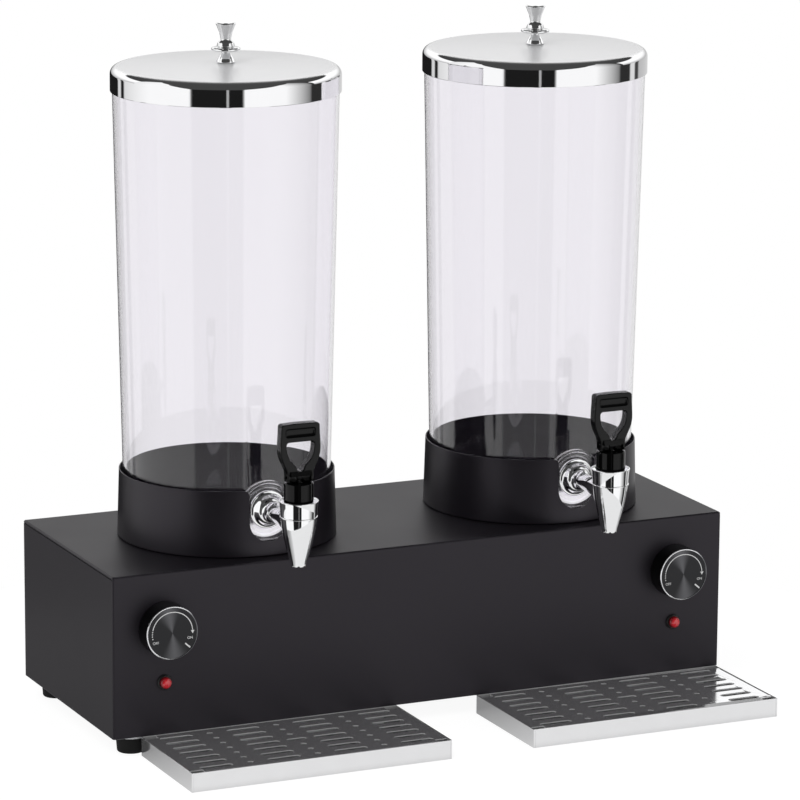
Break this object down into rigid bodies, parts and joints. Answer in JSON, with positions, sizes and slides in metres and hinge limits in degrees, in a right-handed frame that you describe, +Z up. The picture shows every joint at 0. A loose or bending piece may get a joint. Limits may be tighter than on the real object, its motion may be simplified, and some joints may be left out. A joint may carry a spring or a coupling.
{
  "type": "heated beverage dispenser",
  "caption": "Heated drink dispenser: clear tapered jars with polished lids and lever taps stand in collars on a black heating base with dials, and slotted drip trays in front.",
  "frame": {"origin": "middle of the object's box in plan, on the surface that the feet and trays stand on", "axes": "+Z up; -Y is the front, with the taps, dials and trays; +X to the right seen from the front"},
  "size_m": [0.56, 0.3228, 0.5848],
  "materials": {
    "powder_coat": "fine satin black powder coat on folded steel",
    "zinc_steel": "zinc-plated steel",
    "rubber": "matte black rubber",
    "dark_aluminium": "dark coated cast aluminium",
    "black_plastic": "satin black moulded plastic",
    "brass": "turned brass",
    "spun_black": "black anodised aluminium, spun face, bright cut rim",
    "red_lens": "clear red lens",
    "clear_jar": "clear polycarbonate",
    "silicone": "white silicone",
    "chrome_plate": "bright chrome plate",
    "polished_steel": "mirror-polished stainless steel"
  },
  "bodies": {
    "base": {"housing_shell": "powder_coat", "base_pan": "zinc_steel", "foot_front_left": "rubber", "foot_front_right": "rubber", "foot_rear_left": "rubber", "foot_rear_right": "rubber", "foot_screw_front_left": "zinc_steel", "foot_screw_front_right": "zinc_steel", "foot_screw_rear_left": "zinc_steel", "foot_screw_rear_right": "zinc_steel", "power_inlet": "black_plastic", "terminal_block": "black_plastic", "left_collar": "powder_coat", "left_heat_plate": "dark_aluminium", "left_heating_element": "zinc_steel", "left_element_clamp": "zinc_steel", "left_thermostat": "black_plastic", "left_lamp_body": "black_plastic", "left_lamp_lens": "red_lens", "right_collar": "powder_coat", "right_heat_plate": "dark_aluminium", "right_heating_element": "zinc_steel", "right_element_clamp": "zinc_steel", "right_thermostat": "black_plastic", "right_lamp_body": "black_plastic", "right_lamp_lens": "red_lens"},
    "left_dial": {"left_dial_knob": "spun_black", "left_control_shaft": "brass"},
    "left_jar": {"left_jar": "clear_jar", "left_tap_gasket": "silicone", "left_tap_nut": "black_plastic", "left_tap_body": "chrome_plate", "left_tap_bonnet": "black_plastic"},
    "left_lid": {"left_lid": "polished_steel", "left_lid_knob": "chrome_plate", "left_lid_knob_nut": "zinc_steel"},
    "left_stem": {"left_tap_stem": "brass", "left_seat_cup": "silicone"},
    "left_handle": {"left_tap_handle": "black_plastic", "left_handle_pin": "zinc_steel"},
    "left_tray": {"left_drip_pan": "polished_steel"},
    "left_grate": {"left_drip_grate": "polished_steel"},
    "right_dial": {"right_dial_knob": "spun_black", "right_control_shaft": "brass"},
    "right_jar": {"right_jar": "clear_jar", "right_tap_gasket": "silicone", "right_tap_nut": "black_plastic", "right_tap_body": "chrome_plate", "right_tap_bonnet": "black_plastic"},
    "right_lid": {"right_lid": "polished_steel", "right_lid_knob": "chrome_plate", "right_lid_knob_nut": "zinc_steel"},
    "right_stem": {"right_tap_stem": "brass", "right_seat_cup": "silicone"},
    "right_handle": {"right_tap_handle": "black_plastic", "right_handle_pin": "zinc_steel"},
    "right_tray": {"right_drip_pan": "polished_steel"},
    "right_grate": {"right_drip_grate": "polished_steel"}
  },
  "joints": [
    {"name": "left_dial_turn", "type": "hinge", "parent": "base", "child": "left_dial", "pos_m": [-0.235, -0.05135, 0.1063], "axis": [0, 1, 0], "range_deg": [0, 270]},
    {"name": "left_jar_lift", "type": "slide", "parent": "base", "child": "left_jar", "axis": [0, 0, 1], "range_m": [0, 0.12]},
    {"name": "left_lid_lift", "type": "slide", "parent": "left_jar", "child": "left_lid", "axis": [0, 0, 1], "range_m": [0, 0.05]},
    {"name": "left_stem_lift", "type": "slide", "parent": "left_jar", "child": "left_stem", "axis": [0, 0, 1], "range_m": [0, 0.0031]},
    {"name": "left_tap_lever", "type": "hinge", "parent": "left_stem", "child": "left_handle", "pos_m": [-0.136, -0.09835, 0.2346], "axis": [1, 0, 0], "range_deg": [0, 60], "stiffness_Nm_per_rad": 0.3},
    {"name": "left_tray_slide", "type": "slide", "parent": "base", "child": "left_tray", "axis": [0, -1, 0], "range_m": [0, 0.1]},
    {"name": "left_grate_lift", "type": "slide", "parent": "left_tray", "child": "left_grate", "axis": [0, 0, 1], "range_m": [0, 0.035]},
    {"name": "right_dial_turn", "type": "hinge", "parent": "base", "child": "right_dial", "pos_m": [0.235, -0.05135, 0.1063], "axis": [0, 1, 0], "range_deg": [0, 270]},
    {"name": "right_jar_lift", "type": "slide", "parent": "base", "child": "right_jar", "axis": [0, 0, 1], "range_m": [0, 0.12]},
    {"name": "right_lid_lift", "type": "slide", "parent": "right_jar", "child": "right_lid", "axis": [0, 0, 1], "range_m": [0, 0.05]},
    {"name": "right_stem_lift", "type": "slide", "parent": "right_jar", "child": "right_stem", "axis": [0, 0, 1], "range_m": [0, 0.0031]},
    {"name": "right_tap_lever", "type": "hinge", "parent": "right_stem", "child": "right_handle", "pos_m": [0.148, -0.09835, 0.2346], "axis": [1, 0, 0], "range_deg": [0, 60], "stiffness_Nm_per_rad": 0.3},
    {"name": "right_tray_slide", "type": "slide", "parent": "base", "child": "right_tray", "axis": [0, -1, 0], "range_m": [0, 0.1]},
    {"name": "right_grate_lift", "type": "slide", "parent": "right_tray", "child": "right_grate", "axis": [0, 0, 1], "range_m": [0, 0.035]}
  ],
  "couplings": [
    {"joint": "left_stem_lift", "follows": "left_tap_lever", "m_per_rad": 0.0028648},
    {"joint": "right_stem_lift", "follows": "right_tap_lever", "m_per_rad": 0.0028648}
  ]
}
